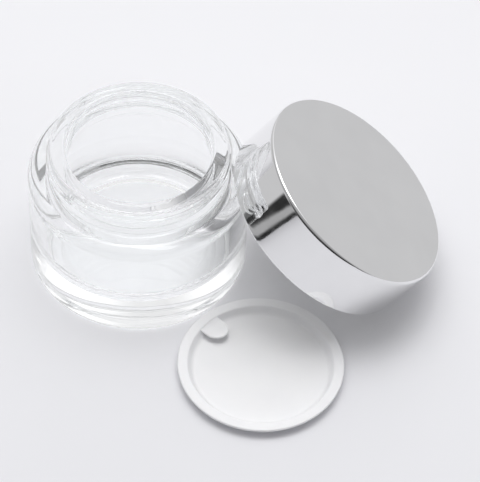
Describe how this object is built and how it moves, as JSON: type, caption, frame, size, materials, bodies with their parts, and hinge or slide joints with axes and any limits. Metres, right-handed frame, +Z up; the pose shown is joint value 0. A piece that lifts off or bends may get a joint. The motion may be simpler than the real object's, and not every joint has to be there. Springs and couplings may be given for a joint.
{
  "type": "cosmetic cream jar",
  "caption": "Open thick-walled clear glass cream jar with its polished silver screw cap leaning on it and its white inner disc lying beside it.",
  "frame": {"origin": "centre of the jar's foot, on the table", "axes": "+Z up along the jar's axis; +X towards the leaning cap; the table is the plane Z = 0"},
  "size_m": [0.1128, 0.0929, 0.0486],
  "materials": {
    "clear_glass": "clear, fire-polished, thick-walled",
    "silver_metal": "mirror-bright anodised",
    "white_liner": "satin moulded polypropylene",
    "foam_wad": "fine closed-cell foam",
    "disc_plastic": "translucent white moulded polyethylene, soft sheen"
  },
  "bodies": {
    "jar": {"glass_jar": "clear_glass"},
    "cap": {"cap_shell": "silver_metal", "cap_liner": "white_liner"},
    "wad": {"sealing_wad": "foam_wad"},
    "disc": {"inner_disc": "disc_plastic"},
    "tab": {"pull_tab": "disc_plastic"}
  },
  "joints": [
    {"name": "cap_tip", "type": "hinge", "parent": "jar", "child": "cap", "pos_m": [0.073, 0, 0], "axis": [-0.1045, 0.9945, 0], "range_deg": [0, 53]},
    {"name": "wad_turn", "type": "hinge", "parent": "cap", "child": "wad", "pos_m": [0.04938, -0.00248, 0.01783], "axis": [0.5971, 0.0628, 0.7997], "continuous": true},
    {"name": "disc_lift", "type": "hinge", "parent": "jar", "child": "disc", "pos_m": [0.04992, -0.05303, 0], "axis": [0.6561, 0.7547, 0], "range_deg": [0, 34]},
    {"name": "tab_flip", "type": "hinge", "parent": "disc", "child": "tab", "pos_m": [0.02169, -0.02849, 0.0029], "axis": [-0.6561, -0.7547, 0], "range_deg": [-10, 90], "stiffness_Nm_per_rad": 0.0002}
  ]
}
